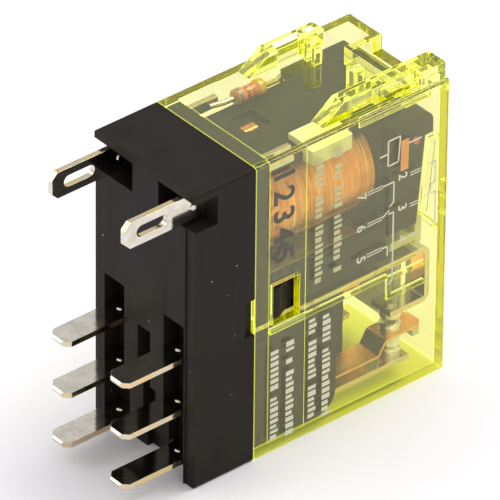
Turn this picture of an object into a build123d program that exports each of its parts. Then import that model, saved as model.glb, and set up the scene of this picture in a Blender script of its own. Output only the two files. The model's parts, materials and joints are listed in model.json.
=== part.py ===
from build123d import *
import os

# Slim two-pole plug-in relay.
# Origin: centre of the base's seating face. +Z runs towards the coil end, the
# blades point towards -Y and the clear cover's far face looks towards +Y.

# ---------------------------------------------------------------- driving dimensions, mm
WIDTH = 12.7
LENGTH = 29.0
DEPTH = 27.1
BASE_DEPTH = 6.4

SIDE_WALL = 0.8
END_WALL = 0.5
CONTACT_END_WALL = 0.8
RIM_WALL_STEP = 0.12
FIT = 0.1
CORNER_RADIUS = 0.3
FAR_EDGE_RADIUS = 0.25

BLADE_REACH = 6.15
BLADE_THICKNESS = 0.5
BLADE_WIDTH = 2.4
BLADE_X = 3.75
NC_HEIGHT, COM_HEIGHT, NO_HEIGHT = 2.1, 7.1, 12.2

COIL_BLADE_X = 4.6
COIL_BLADE_HEIGHT = 26.85
COIL_BLADE_WIDTH = 2.5

COIL_HEIGHT = 21.5
CORE_RADIUS = 2.25
BOBBIN_RADIUS = 2.9
WINDING_RADIUS = 4.6
POLE_RADIUS = 3.2
COIL_START, COIL_END = 8.2, 20.4
POLE_FACE_Y = 21.85

YOKE_THICKNESS = 1.1
YOKE_HEIGHT = 15.4

HINGE_Y, HINGE_HEIGHT = 21.9, 15.4
ARMATURE_OPEN_ANGLE = 8.0
CARD_Y = 25.05
CARD_THICKNESS = 0.7

CONTACT_Y = 22.9
CONTACT_RADIUS = 0.95
RIVET_SHANK = 0.4
SPRING_ROOT_Y = 8.85
SPRING_HEIGHT = 4.75
SPRING_ROOT_HEIGHT = 3.5
JOGGLE_Y = (20.7, 21.5)
SPRING_THICKNESS = 0.2
CONTACT_GAP = 0.42
CLOSED_GAP = 0.05
NO_STRIP_HEIGHT = 7.2
NO_FOLD_Y = 25.85

# The hood over the armature leans away from the coil; a strut in the cover follows it.
HOOD_LEAN = (24.3, 25.1)
HOOD_Z = (15.5, 26.1)
HOOD_LEAN_TOP = 23.9

# ---------------------------------------------------------------- derived sizes
HALF = WIDTH / 2
INNER_X = HALF - SIDE_WALL
INNER_Y = DEPTH - SIDE_WALL
TOWER_X = INNER_X - FIT
STRIP_HALF = BLADE_THICKNESS / 2
SPRING_HALF = SPRING_THICKNESS / 2
SIDES = (("left", -1), ("right", 1))

os.makedirs("parts", exist_ok=True)


def level(height):
    """Z of a height measured from the contact end."""
    return height - LENGTH / 2


def block(x, y, z, mode=Mode.ADD):
    """Box between low and high values, with z given as heights from the contact end."""
    with Locations(((x[0] + x[1]) / 2, (y[0] + y[1]) / 2, level((z[0] + z[1]) / 2))):
        Box(x[1] - x[0], y[1] - y[0], z[1] - z[0], mode=mode)


def on_side(side, x):
    """The x range, mirrored for the left side."""
    return (x[0], x[1]) if side > 0 else (-x[1], -x[0])


def save(builder, name):
    builder.part.label = name
    export_step(builder.part, f"parts/{name}.step")


# ================================================================ base
GROOVE_X = (2.5, 5.05)
GROOVE_TOP = 15.55
GROOVE_DEPTH = 1.7
MIDDLE_GROOVE_X = (-0.8, 0.8)
MIDDLE_GROOVE_TOP = 12.75
REBATE_X = (5.2, HALF + 1)
REBATE_DEPTH = 0.12
POCKET_Z = (25.4, 28.2)
POCKET_DEPTH = 2.4
LEFT_POCKET_X = (-HALF, -1.5)
RIGHT_POCKET_X = (1.75, HALF)
NOTCH_X = (HALF - 0.45, HALF)
NOTCH_Z = (12.7, 16.2)
NOTCH_LENGTH = 1.0
DISH_X = (-2.6, 2.6)
DISH_TOP, DISH_DEPTH = 7.3, 0.6
DEEP_DISH_TOP, DEEP_DISH_DEPTH = 2.6, 1.1
BLADE_CLEARANCE = 0.04
TOWER_WALL = 0.4
RIM_START = 12.9
RIM_RISE = 1.8
RIM_WALLS_Z = (0.7, 0.3)
CHAMBER_END_Y = 15.6
CHAMBER_Z = (0.9, 11.3)
CHAMBER_CORNER = 2.0
DIVIDER_X = (-0.5, 0.5)
DIVIDER_END_Y = 20.6
DIVIDER_TOP = 13.0
LIP_END_Y = 7.6
LIP_TOP = 1.3
LATCH_Z = (13.0, 16.3)
LATCH_WALL_END_Y = 11.0
WEDGE_Y = (8.6, 9.2, 10.8)
WEDGE_INSET = 0.2


def blade_slots():
    """Slots through the base for the six contact blades and the two coil blades."""
    half_width = BLADE_WIDTH / 2 + BLADE_CLEARANCE
    half_thick = STRIP_HALF + BLADE_CLEARANCE
    for side in (-1, 1):
        for height in (NC_HEIGHT, COM_HEIGHT, NO_HEIGHT):
            x = (side * BLADE_X - half_width, side * BLADE_X + half_width)
            block(x, (0, BASE_DEPTH + 1), (height - half_thick, height + half_thick), Mode.SUBTRACT)
        x = (side * COIL_BLADE_X - half_thick, side * COIL_BLADE_X + half_thick)
        reach = COIL_BLADE_WIDTH / 2 + BLADE_CLEARANCE
        z = (COIL_BLADE_HEIGHT - reach, COIL_BLADE_HEIGHT + reach)
        block(x, (0, BASE_DEPTH + 2), z, Mode.SUBTRACT)


def tower():
    """Walls of the base that stand inside the cover."""
    rim_top = LENGTH - END_WALL - RIM_WALL_STEP - FIT
    inside = (RIM_START + RIM_WALLS_Z[0], rim_top - RIM_WALLS_Z[1])
    with BuildSketch(Plane.XZ.offset(-BASE_DEPTH)) as rim:
        with Locations((0, level((RIM_START + rim_top) / 2))):
            Rectangle(2 * TOWER_X, rim_top - RIM_START)
        with Locations((0, level((inside[0] + inside[1]) / 2))):
            Rectangle(2 * (TOWER_X - TOWER_WALL), inside[1] - inside[0], mode=Mode.SUBTRACT)
    extrude(rim.sketch, amount=-RIM_RISE)
    for side in (-1, 1):
        wall = on_side(side, (TOWER_X - TOWER_WALL, TOWER_X))
        with BuildSketch(Plane.YZ.offset(wall[0])) as chamber_wall:
            with Locations(((BASE_DEPTH + CHAMBER_END_Y) / 2, level(sum(CHAMBER_Z) / 2))):
                Rectangle(CHAMBER_END_Y - BASE_DEPTH, CHAMBER_Z[1] - CHAMBER_Z[0])
            far_corner = chamber_wall.vertices().group_by(Axis.X)[-1].sort_by(Axis.Y)[0]
            fillet(far_corner, CHAMBER_CORNER)
        extrude(chamber_wall.sketch, amount=TOWER_WALL)
        block(wall, (BASE_DEPTH, LATCH_WALL_END_Y), LATCH_Z)
    block(DIVIDER_X, (BASE_DEPTH, DIVIDER_END_Y), (CHAMBER_Z[0], DIVIDER_TOP))
    block((-TOWER_X, TOWER_X), (BASE_DEPTH, LIP_END_Y), (CHAMBER_Z[0], LIP_TOP))


with BuildPart() as base:
    block((-HALF, HALF), (0, BASE_DEPTH), (0, LENGTH))
    fillet(base.edges().filter_by(Axis.Y), CORNER_RADIUS)
    tower()
    for side in (-1, 1):
        # Shallow rebate down the corner of the seating face.
        block(on_side(side, REBATE_X), (-1, REBATE_DEPTH), (-1, POCKET_Z[0]), Mode.SUBTRACT)
        groove = on_side(side, GROOVE_X)
        block(groove, (0, GROOVE_DEPTH), (-1, GROOVE_TOP), Mode.SUBTRACT)
        pocket = LEFT_POCKET_X if side < 0 else RIGHT_POCKET_X
        block(pocket, (0, POCKET_DEPTH), POCKET_Z, Mode.SUBTRACT)
        notch = on_side(side, NOTCH_X)
        block(notch, (BASE_DEPTH - NOTCH_LENGTH, BASE_DEPTH), NOTCH_Z, Mode.SUBTRACT)
    block(MIDDLE_GROOVE_X, (0, GROOVE_DEPTH), (-1, MIDDLE_GROOVE_TOP), Mode.SUBTRACT)
    block(DISH_X, (0, DISH_DEPTH), (-1, DISH_TOP), Mode.SUBTRACT)
    block(DISH_X, (0, DEEP_DISH_DEPTH), (-1, DEEP_DISH_TOP), Mode.SUBTRACT)
    blade_slots()
    # Latch wedges that snap into the cover's windows.
    for side in (-1, 1):
        root_x, nose_x = side * (TOWER_X - 0.1), side * (HALF - 0.15)
        with BuildSketch(Plane.XY.offset(level(LATCH_Z[0] + WEDGE_INSET))):
            with BuildLine():
                Polyline(
                    (root_x, WEDGE_Y[0]),
                    (nose_x, WEDGE_Y[0]),
                    (nose_x, WEDGE_Y[1]),
                    (root_x, WEDGE_Y[2]),
                    close=True,
                )
            make_face()
        extrude(amount=LATCH_Z[1] - LATCH_Z[0] - 2 * WEDGE_INSET)
save(base, "base")

# ================================================================ cover
RAIL_X = (3.9, 5.35)
RAIL_RISE = 1.6
RAIL_RAMP = (14.3, 16.5)
LEFT_RAIL_END = 22.2
EAR_START = 24.2
STEP_X = (-2.2, 3.75)
STEP_START = 24.3
STEP_HEIGHT = 27.5
STEP_WALL = 0.7
WINDOW_Y = (8.35, 11.2)
WINDOW_Z = (12.7, 16.6)
WEB = 0.35
CHANNEL_BREAK_Y = (20.3, 20.8)
EAR_X = (3.9, 6.05)
EAR_INSET = 0.3
FLEX_SLOT_X = (5.68, 6.0)
FLEX_SLOT_Y = (17.5, 24.9)
FLEX_SLOT_DEPTH = 0.9
HOOK_X = 2.65
HOOK_Y = 20.4
HOOK_THICKNESS = 0.8
HOOK_WIDTH, HOOK_RISE = 1.3, 2.3
HOOK_HOLE_WIDTH, HOOK_HOLE_RISE = 0.6, 1.9
HOOK_CORNER = 0.35
# The cavity is narrowest at its mouth. Each step has a half width and a depth where it ends.
MOUTH_X, MOUTH_END_Y = 5.5, 8.2
LOWER_X, LOWER_END_Y = 5.62, 12.1
RIB_RISE = 0.3
RIB = 0.4
RIB_Y = (8.4, 21.0, 25.0)
RIB_Z = (11.55, 11.25, 9.4)
STRUT_Z = (16.4, 23.75)
STRUT_RISE = 0.25
STRUT_GAP = 0.1
STRUT_WIDTH = 0.75
STRUT_CAP = 0.35
GUIDE_X = (1.7, 2.1)
GUIDE_Y = 25.75
GUIDE_Z = (3.0, 15.5)
CROSS_RIB_Y = 25.9
CROSS_RIB_Z = (14.5, 14.9)
# How far a boss is sunk into the wall that carries it.
SINK = 0.05


def rail(side, end):
    """Hold-down rail: a ramp, then two thin webs with an open channel between them."""
    x = on_side(side, RAIL_X)
    top = level(LENGTH + RAIL_RISE)
    with BuildSketch(Plane.YZ.offset(x[0])) as side_view:
        with BuildLine():
            Polyline(
                (RAIL_RAMP[0], level(LENGTH - 0.2)),
                (RAIL_RAMP[0], level(LENGTH)),
                (RAIL_RAMP[1], top),
                (end, top),
                (end, level(LENGTH - 0.2)),
                close=True,
            )
        make_face()
    extrude(side_view.sketch, amount=x[1] - x[0])
    channel = on_side(side, (RAIL_X[0] + WEB, RAIL_X[1] - WEB))
    near, far = (RAIL_RAMP[1] + 0.9, CHANNEL_BREAK_Y[0]), (CHANNEL_BREAK_Y[1], end - 0.5)
    block(channel, near, (LENGTH - END_WALL - 0.1, LENGTH + 2), Mode.SUBTRACT)
    block(channel, far, (LENGTH + 0.3, LENGTH + 2), Mode.SUBTRACT)


def hook(side):
    """Small arch standing on the end wall beside a rail."""
    with BuildSketch(Plane.XZ.offset(-HOOK_Y)) as arch:
        with Locations((side * HOOK_X, level(LENGTH - FIT))):
            Rectangle(HOOK_WIDTH, HOOK_RISE + FIT, align=(Align.CENTER, Align.MIN))
        fillet(arch.vertices().group_by(Axis.Y)[-1], HOOK_CORNER)
        with Locations((side * HOOK_X, level(LENGTH - WEB + SINK))):
            hole_height = HOOK_HOLE_RISE + WEB - SINK
            Rectangle(HOOK_HOLE_WIDTH, hole_height, align=(Align.CENTER, Align.MIN), mode=Mode.SUBTRACT)
    extrude(arch.sketch, amount=HOOK_THICKNESS)


def cover_ribs(side):
    """Stiffening ribs on the inside of a side wall, and the loop at their far end."""
    rib_x = on_side(side, (INNER_X - RIB_RISE, INNER_X + SINK))
    start, loop_start, loop_end = RIB_Y
    long_rib, loop_top, loop_bottom = RIB_Z
    block(rib_x, (start, loop_start), (long_rib, long_rib + RIB))
    block(rib_x, (loop_start, loop_end), (loop_top, loop_top + RIB))
    block(rib_x, (loop_start, loop_start + RIB), (loop_bottom + RIB / 2, loop_top + RIB))
    block(rib_x, (loop_start, loop_end), (loop_bottom, loop_bottom + RIB))


def strut(side):
    """Leaning strut on the inside of a side wall, with a cap that joins the far wall."""
    x = on_side(side, (INNER_X - STRUT_RISE, INNER_X + SINK))
    bottom, top = level(STRUT_Z[0]), level(STRUT_Z[1])
    near, wall_y = STRUT_GAP, INNER_Y + SINK
    far = STRUT_GAP + STRUT_WIDTH
    with BuildSketch(Plane.YZ.offset(x[0])) as strut_side:
        with BuildLine():
            Polyline(
                (HOOD_LEAN[0] + near, bottom),
                (HOOD_LEAN[1] + near, top),
                (wall_y, top),
                (wall_y, top - STRUT_CAP),
                (HOOD_LEAN[1] + far, top - STRUT_CAP),
                (HOOD_LEAN[0] + far, bottom),
                close=True,
            )
        make_face()
    extrude(strut_side.sketch, amount=x[1] - x[0])


with BuildPart() as cover:
    block((-HALF, HALF), (BASE_DEPTH, DEPTH), (0, LENGTH))
    fillet(cover.edges().filter_by(Axis.Y), CORNER_RADIUS)
    fillet(cover.faces().sort_by(Axis.Y)[-1].edges(), FAR_EDGE_RADIUS)
    # Cavity in three steps: the mouth, the lower part and the rest.
    cavity_top = LENGTH - END_WALL
    mouth = (CONTACT_END_WALL, cavity_top - RIM_WALL_STEP)
    cavity = (CONTACT_END_WALL, cavity_top)
    block((-MOUTH_X, MOUTH_X), (BASE_DEPTH, MOUTH_END_Y), mouth, Mode.SUBTRACT)
    block((-LOWER_X, LOWER_X), (MOUTH_END_Y, LOWER_END_Y), cavity, Mode.SUBTRACT)
    block((-INNER_X, INNER_X), (LOWER_END_Y, INNER_Y), cavity, Mode.SUBTRACT)
    # Step in the coil-end face for the socket's hold-down clip.
    under = (STEP_X[0] - STEP_WALL, STEP_X[1] + STEP_WALL)
    under_z = (STEP_HEIGHT - STEP_WALL, LENGTH - 0.2)
    block(under, (STEP_START - STEP_WALL, INNER_Y + SINK), under_z)
    block(STEP_X, (STEP_START, DEPTH), (STEP_HEIGHT, LENGTH + 1), Mode.SUBTRACT)
    rail(-1, LEFT_RAIL_END)
    rail(1, EAR_START + 0.4)
    block(EAR_X, (EAR_START, DEPTH - EAR_INSET), (LENGTH - 0.2, LENGTH + RAIL_RISE))
    for side in (-1, 1):
        hook(side)
        cover_ribs(side)
        window_x = on_side(side, (INNER_X - SIDE_WALL / 2, HALF + FIT))
        block(window_x, WINDOW_Y, WINDOW_Z, Mode.SUBTRACT)
        # Card guides on the far wall, and the strut that locates the armature hood.
        block(on_side(side, GUIDE_X), (GUIDE_Y, INNER_Y + SINK), GUIDE_Z)
        strut(side)
    block((-INNER_X, INNER_X), (CROSS_RIB_Y, INNER_Y + SINK), CROSS_RIB_Z)
    # Flex slot beside the right rail.
    block(FLEX_SLOT_X, FLEX_SLOT_Y, (LENGTH - FLEX_SLOT_DEPTH, LENGTH + 1), Mode.SUBTRACT)
save(cover, "cover")

# ================================================================ coil: core, bobbin, winding, yoke
POLE_THICKNESS = 0.6
CORE_START = 6.6
FLANGE = 0.8
FAR_FLANGE_X, NEAR_FLANGE_X = 4.8, 4.2
FLANGE_Z = (16.55, 26.1)
YOKE_X, YOKE_FOOT_X = 4.2, 3.6
YOKE_START = 6.5
YOKE_FOOT_TOP = 25.0
LEAF_X = 1.9
LEAF_Y = (13.5, 21.5)
LEAF_THICKNESS = 0.2
LEAF_RIVET_Y = 15.2
TROUGH_Y = (8.5, 20.8)
TROUGH_Z = (13.6, 14.4)
TROUGH_WALL_START = 11.2
TROUGH_WALL_TOP = 17.0
TROUGH_WALL = 0.6
END_WALL_Z = (26.2, 27.0)
END_PLATE_X, END_PLATE_Y = (-3.9, 4.2), (9.1, 23.3)
END_ARM_X, END_ARM_Y = (-5.4, -3.2), (18.9, 25.7)
RECESS_X, RECESS_Y = (-2.4, 0.05), (11.1, 13.3)
RECESS_FLOOR = 26.6
OPENING_X, OPENING_Y = (-1.45, -0.2), (10.8, 12.4)
SPLICE_TOP = 26.85
HOOD_X = 5.2
HOOD_Y = (21.25, 25.95)
HOOD_CAVITY_X = 4.5
HOOD_CAVITY_TOP = 25.6
HOOD_CAVITY_Y = (21.0, 24.1)
HOOD_POCKET_Y = (24.0, 24.55)
HOOD_POCKET_START = 20.5


def coil_disc(start, end, radius, mode=Mode.ADD):
    """Cylinder on the coil axis between two depths."""
    with BuildSketch(Plane.XZ.offset(-start)) as disc:
        with Locations((0, level(COIL_HEIGHT))):
            Circle(radius)
    extrude(disc.sketch, amount=start - end, mode=mode)


with BuildPart() as core:
    coil_disc(CORE_START, POLE_FACE_Y - POLE_THICKNESS, CORE_RADIUS)
    coil_disc(POLE_FACE_Y - POLE_THICKNESS, POLE_FACE_Y, POLE_RADIUS)
    fillet(core.faces().sort_by(Axis.Y)[-1].edges(), 0.15)
save(core, "core")

with BuildPart() as bobbin:
    coil_disc(COIL_START - 0.5, COIL_END + FLANGE, BOBBIN_RADIUS)
    block((-FAR_FLANGE_X, FAR_FLANGE_X), (COIL_END, COIL_END + FLANGE), FLANGE_Z)
    block((-NEAR_FLANGE_X, NEAR_FLANGE_X), (COIL_START - 0.5, COIL_START), FLANGE_Z)
    coil_disc(COIL_START - 1, COIL_END + 1, CORE_RADIUS + 0.03, Mode.SUBTRACT)
save(bobbin, "bobbin")

with BuildPart() as winding:
    coil_disc(COIL_START + 0.02, COIL_END - 0.02, WINDING_RADIUS)
    coil_disc(COIL_START, COIL_END, BOBBIN_RADIUS + 0.02, Mode.SUBTRACT)
save(winding, "coil_winding")

with BuildPart() as yoke:
    block((-YOKE_X, YOKE_X), (YOKE_START, POLE_FACE_Y), (YOKE_HEIGHT, YOKE_HEIGHT + YOKE_THICKNESS))
    foot_y = (YOKE_START, YOKE_START + YOKE_THICKNESS)
    block((-YOKE_FOOT_X, YOKE_FOOT_X), foot_y, (YOKE_HEIGHT, YOKE_FOOT_TOP))
    coil_disc(6.4, 8.0, CORE_RADIUS + 0.02, Mode.SUBTRACT)
save(yoke, "yoke")

with BuildPart() as hinge_spring:
    leaf_top = YOKE_HEIGHT - 0.02
    block((-LEAF_X, LEAF_X), LEAF_Y, (leaf_top - LEAF_THICKNESS, leaf_top))
    # Head of the rivet that holds the leaf.
    with Locations((0, LEAF_RIVET_Y, level(YOKE_HEIGHT - 0.3))):
        Cylinder(0.6, 0.4)
save(hinge_spring, "hinge_spring")

with BuildPart() as trough:
    floor_x = TOWER_X - TROUGH_WALL + 0.1
    block((-floor_x, floor_x), TROUGH_Y, TROUGH_Z)
    for side in (-1, 1):
        wall_x = on_side(side, (TOWER_X - TROUGH_WALL, TOWER_X))
        block(wall_x, (TROUGH_WALL_START, TROUGH_Y[1]), (TROUGH_Z[0], TROUGH_WALL_TOP))
save(trough, "coil_barrier")

with BuildPart() as end_wall:
    # The plate and its arm, which reaches over the hood.
    block(END_PLATE_X, END_PLATE_Y, END_WALL_Z)
    block(END_ARM_X, END_ARM_Y, END_WALL_Z)
    # Recess with an opening over the winding.
    block(RECESS_X, RECESS_Y, (RECESS_FLOOR, END_WALL_Z[1]), Mode.SUBTRACT)
    block(OPENING_X, OPENING_Y, END_WALL_Z, Mode.SUBTRACT)
save(end_wall, "coil_end_wall")

with BuildPart() as splice:
    splice_x = (OPENING_X[0] + FIT, OPENING_X[1] - FIT)
    splice_y = (OPENING_Y[0] + FIT, OPENING_Y[1] - FIT)
    block(splice_x, splice_y, (COIL_HEIGHT + WINDING_RADIUS + 0.02, SPLICE_TOP))
    fillet(splice.edges().filter_by(Axis.Y).group_by(Axis.Z)[-1], 0.3)
save(splice, "wire_splice")

with BuildPart() as hood:
    with BuildSketch(Plane.YZ.offset(-HOOD_X)) as hood_side:
        with BuildLine():
            Polyline(
                (HOOD_Y[0], level(HOOD_Z[0])),
                (HOOD_LEAN[0], level(HOOD_Z[0])),
                (HOOD_LEAN[1], level(HOOD_LEAN_TOP)),
                (HOOD_Y[1], level(HOOD_LEAN_TOP)),
                (HOOD_Y[1], level(HOOD_Z[1])),
                (HOOD_Y[0], level(HOOD_Z[1])),
                close=True,
            )
        make_face()
        fillet(hood_side.vertices().group_by(Axis.Y)[-1].sort_by(Axis.X)[-1], 1.0)
    extrude(amount=2 * HOOD_X)
    cavity_x = (-HOOD_CAVITY_X, HOOD_CAVITY_X)
    block(cavity_x, HOOD_CAVITY_Y, (HOOD_Z[0] - 0.5, HOOD_CAVITY_TOP), Mode.SUBTRACT)
    block(cavity_x, HOOD_POCKET_Y, (HOOD_POCKET_START, HOOD_CAVITY_TOP), Mode.SUBTRACT)
save(hood, "armature_hood")

# ================================================================ armature and card
# The armature is drawn in its own frame at the hinge line, which leans back by
# the open angle while the coil is off.
armature_frame = Plane(
    origin=(0, HINGE_Y, level(HINGE_HEIGHT)), x_dir=(1, 0, 0), z_dir=(0, 0, 1)
).rotated((-ARMATURE_OPEN_ANGLE, 0, 0))

PLATE_WIDTH = 8.0
PLATE_THICKNESS = 1.0
PLATE_Z = (0.3, 10.1)
PLATE_OFFSET = 0.03
TONGUE_WIDTH = 3.2
TONGUE_START = -1.0
TONGUE_THICKNESS = 0.8
TONGUE_REACH = 3.37


def armature_block(width, reach, start, end):
    """Block of the armature: reach is how far it stands out from the hinge line."""
    with BuildSketch(armature_frame.offset(start)) as outline:
        with Locations((0, (reach + PLATE_OFFSET) / 2)):
            Rectangle(width, reach - PLATE_OFFSET)
    extrude(outline.sketch, amount=end - start)


with BuildPart() as armature:
    plate_reach = PLATE_THICKNESS + PLATE_OFFSET
    armature_block(PLATE_WIDTH, plate_reach, *PLATE_Z)
    armature_block(TONGUE_WIDTH, plate_reach, TONGUE_START, PLATE_Z[0] + 0.1)
    armature_block(TONGUE_WIDTH, TONGUE_REACH, TONGUE_START, TONGUE_START + TONGUE_THICKNESS)
save(armature, "armature")

CARD_Y_RANGE = (CARD_Y - CARD_THICKNESS / 2, CARD_Y + CARD_THICKNESS / 2)
CARD_Z = (3.6, 15.6)
CARD_STEM_X, CARD_BAR_X = 2.2, 4.6
CARD_HEAD_START = 12.95
CARD_LIFT_GAP = 0.05
CARD_ARM_X = (2.6, 4.6)
CARD_ARM_Y = 22.0
CARD_ARM_Z = (13.3, 14.1)
CARD_SLOT_X = 1.75
CARD_SLOT_Z = (13.8, 14.95)

with BuildPart() as card:
    bar_x = (-CARD_BAR_X, CARD_BAR_X)
    foot_top = SPRING_HEIGHT - SPRING_HALF - CARD_LIFT_GAP
    block((-CARD_STEM_X, CARD_STEM_X), CARD_Y_RANGE, CARD_Z)
    block(bar_x, CARD_Y_RANGE, (CARD_HEAD_START, CARD_Z[1]))
    block(bar_x, CARD_Y_RANGE, (CARD_Z[0], foot_top))
    for side in (-1, 1):
        block(on_side(side, CARD_ARM_X), (CARD_ARM_Y, CARD_Y), CARD_ARM_Z)
    # Slot for the armature's tongue.
    block((-CARD_SLOT_X, CARD_SLOT_X), (CARD_Y - 1, CARD_Y + 1), CARD_SLOT_Z, Mode.SUBTRACT)
save(card, "pusher_card")

# ================================================================ contact sets
DIMPLE_RADIUS, DIMPLE_RISE = 0.38, 0.13
DIMPLE_Y, COIL_DIMPLE_Y = 0.65, 1.05
RIVET_HEAD_RADIUS = 0.7
RIVET_HEAD = 0.25
HOLE_FIT = 0.02
ROOT_CLEARANCE = 0.12
ROOT_TOP = 6.4
COM_LEG_END = 4.6
NC_END_Y = 24.0
NO_END_Y = 21.9
COIL_BLADE_END_Y = 8.3
COIL_POST_WIDTH = 1.0
COIL_POST_Y = (8.25, 11.35)
WIRE_HOLE_Y = -3.2
WIRE_HOLE_LENGTH, WIRE_HOLE_WIDTH = 3.2, 1.1


def strip(side, path, bend=0.5):
    """Flat strip of blade width that follows a path of (depth, height) points."""
    points = [(y, level(z)) for y, z in path]
    with BuildSketch(Plane.YZ.offset(side * BLADE_X - BLADE_WIDTH / 2)) as profile:
        with BuildLine():
            if len(points) > 2:
                FilletPolyline(*points, radius=bend)
            else:
                Line(*points)
        trace(line_width=BLADE_THICKNESS)
    extrude(profile.sketch, amount=BLADE_WIDTH)


def dimple(face_plane):
    """Small raised stop coined into a blade near its root."""
    with BuildSketch(face_plane) as spot:
        Circle(DIMPLE_RADIUS)
    extrude(spot.sketch, amount=DIMPLE_RISE, taper=35)


def blade_tip(builder, side, height):
    """Cropped corners, a bevelled edge and the dimple of a contact blade."""
    chamfer(builder.edges().filter_by(Axis.Z).group_by(Axis.Y)[0], 0.65)
    chamfer(builder.edges().filter_by(Axis.X).group_by(Axis.Y)[0], 0.16)
    dimple(Plane((side * BLADE_X, DIMPLE_Y, level(height + STRIP_HALF)), z_dir=(0, 0, 1)))


def rivet_hole(side, y):
    """Clearance hole through a contact strip for a rivet shank."""
    with Locations((side * BLADE_X, y, 0)):
        Cylinder(RIVET_SHANK + HOLE_FIT, LENGTH, mode=Mode.SUBTRACT)


def rivet_part(side, bottom, top, radius):
    with BuildSketch(Plane.XY.offset(level(bottom))) as disc:
        with Locations((side * BLADE_X, CONTACT_Y)):
            Circle(radius)
    extrude(disc.sketch, amount=top - bottom)


def contact_face(builder, end):
    """Rounded rim on the contact face at one end of a rivet."""
    face = builder.faces().sort_by(Axis.Z)[end]
    fillet(face.edges(), 0.3)


NC_FACE = 3.25
MOVING_LOW = NC_FACE + CLOSED_GAP
MOVING_HIGH = 5.65
NO_FACE = MOVING_HIGH + CONTACT_GAP

for name, side in SIDES:
    with BuildPart() as nc_terminal:
        strip(side, [(-BLADE_REACH, NC_HEIGHT), (NC_END_Y, NC_HEIGHT)])
        rivet_hole(side, CONTACT_Y)
        blade_tip(nc_terminal, side, NC_HEIGHT)
    save(nc_terminal, f"nc_terminal_{name}")

    with BuildPart() as com_terminal:
        leg_y = SPRING_ROOT_Y - SPRING_HALF - ROOT_CLEARANCE - STRIP_HALF
        strip(side, [(-BLADE_REACH, COM_HEIGHT), (leg_y, COM_HEIGHT), (leg_y, COM_LEG_END)])
        blade_tip(com_terminal, side, COM_HEIGHT)
    save(com_terminal, f"com_terminal_{name}")

    with BuildPart() as no_terminal:
        strip(
            side,
            [
                (-BLADE_REACH, NO_HEIGHT),
                (NO_FOLD_Y, NO_HEIGHT),
                (NO_FOLD_Y, NO_STRIP_HEIGHT),
                (NO_END_Y, NO_STRIP_HEIGHT),
            ],
        )
        with Locations((side * BLADE_X, CONTACT_Y, level(NO_STRIP_HEIGHT))):
            Cylinder(RIVET_SHANK + HOLE_FIT, 2 * BLADE_THICKNESS, mode=Mode.SUBTRACT)
        blade_tip(no_terminal, side, NO_HEIGHT)
    save(no_terminal, f"no_terminal_{name}")

    with BuildPart() as nc_contact:
        under, over = NC_HEIGHT - STRIP_HALF, NC_HEIGHT + STRIP_HALF
        rivet_part(side, under - RIVET_HEAD, under, RIVET_HEAD_RADIUS)
        rivet_part(side, under, over, RIVET_SHANK)
        rivet_part(side, over, NC_FACE, CONTACT_RADIUS)
        contact_face(nc_contact, -1)
    save(nc_contact, f"nc_contact_{name}")

    with BuildPart() as no_contact:
        under, over = NO_STRIP_HEIGHT - STRIP_HALF, NO_STRIP_HEIGHT + STRIP_HALF
        rivet_part(side, over, over + RIVET_HEAD, RIVET_HEAD_RADIUS)
        rivet_part(side, under, over, RIVET_SHANK)
        rivet_part(side, NO_FACE, under, CONTACT_RADIUS)
        contact_face(no_contact, 0)
    save(no_contact, f"no_contact_{name}")

    with BuildPart() as moving_contact:
        under, over = SPRING_HEIGHT - SPRING_HALF, SPRING_HEIGHT + SPRING_HALF
        rivet_part(side, MOVING_LOW, under, CONTACT_RADIUS)
        rivet_part(side, under, over, RIVET_SHANK)
        rivet_part(side, over, MOVING_HIGH, CONTACT_RADIUS)
        contact_face(moving_contact, -1)
        contact_face(moving_contact, 0)
    save(moving_contact, f"moving_contact_{name}")

    with BuildPart() as moving_spring:
        with BuildSketch(Plane.YZ.offset(side * BLADE_X - BLADE_WIDTH / 2)):
            with BuildLine():
                FilletPolyline(
                    (SPRING_ROOT_Y, level(ROOT_TOP)),
                    (SPRING_ROOT_Y, level(SPRING_ROOT_HEIGHT)),
                    (JOGGLE_Y[0], level(SPRING_ROOT_HEIGHT)),
                    (JOGGLE_Y[1], level(SPRING_HEIGHT)),
                    (CARD_Y + 0.5, level(SPRING_HEIGHT)),
                    radius=0.3,
                )
            trace(line_width=SPRING_THICKNESS)
        extrude(amount=BLADE_WIDTH)
        chamfer(moving_spring.edges().filter_by(Axis.Z).group_by(Axis.Y)[-1], 0.5)
        rivet_hole(side, CONTACT_Y)
    save(moving_spring, f"moving_spring_{name}")

    with BuildPart() as coil_terminal:
        half_blade = COIL_BLADE_WIDTH / 2
        low_x = side * COIL_BLADE_X - STRIP_HALF
        with BuildSketch(Plane.YZ.offset(low_x)):
            with Locations(((COIL_BLADE_END_Y - BLADE_REACH) / 2, level(COIL_BLADE_HEIGHT))):
                Rectangle(COIL_BLADE_END_Y + BLADE_REACH, COIL_BLADE_WIDTH)
            post_height = COIL_BLADE_HEIGHT + half_blade - COIL_POST_WIDTH / 2
            with Locations((sum(COIL_POST_Y) / 2, level(post_height))):
                Rectangle(COIL_POST_Y[1] - COIL_POST_Y[0], COIL_POST_WIDTH)
            with Locations((WIRE_HOLE_Y, level(COIL_BLADE_HEIGHT))):
                SlotOverall(WIRE_HOLE_LENGTH, WIRE_HOLE_WIDTH, mode=Mode.SUBTRACT)
        extrude(amount=BLADE_THICKNESS)
        chamfer(coil_terminal.edges().filter_by(Axis.X).group_by(Axis.Y)[0], 0.7)
        chamfer(coil_terminal.edges().filter_by(Axis.Z).group_by(Axis.Y)[0], 0.14)
        dimple_at = (low_x + BLADE_THICKNESS, COIL_DIMPLE_Y, level(COIL_BLADE_HEIGHT))
        dimple(Plane(dimple_at, z_dir=(1, 0, 0)))
    save(coil_terminal, f"coil_terminal_{name}")

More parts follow.
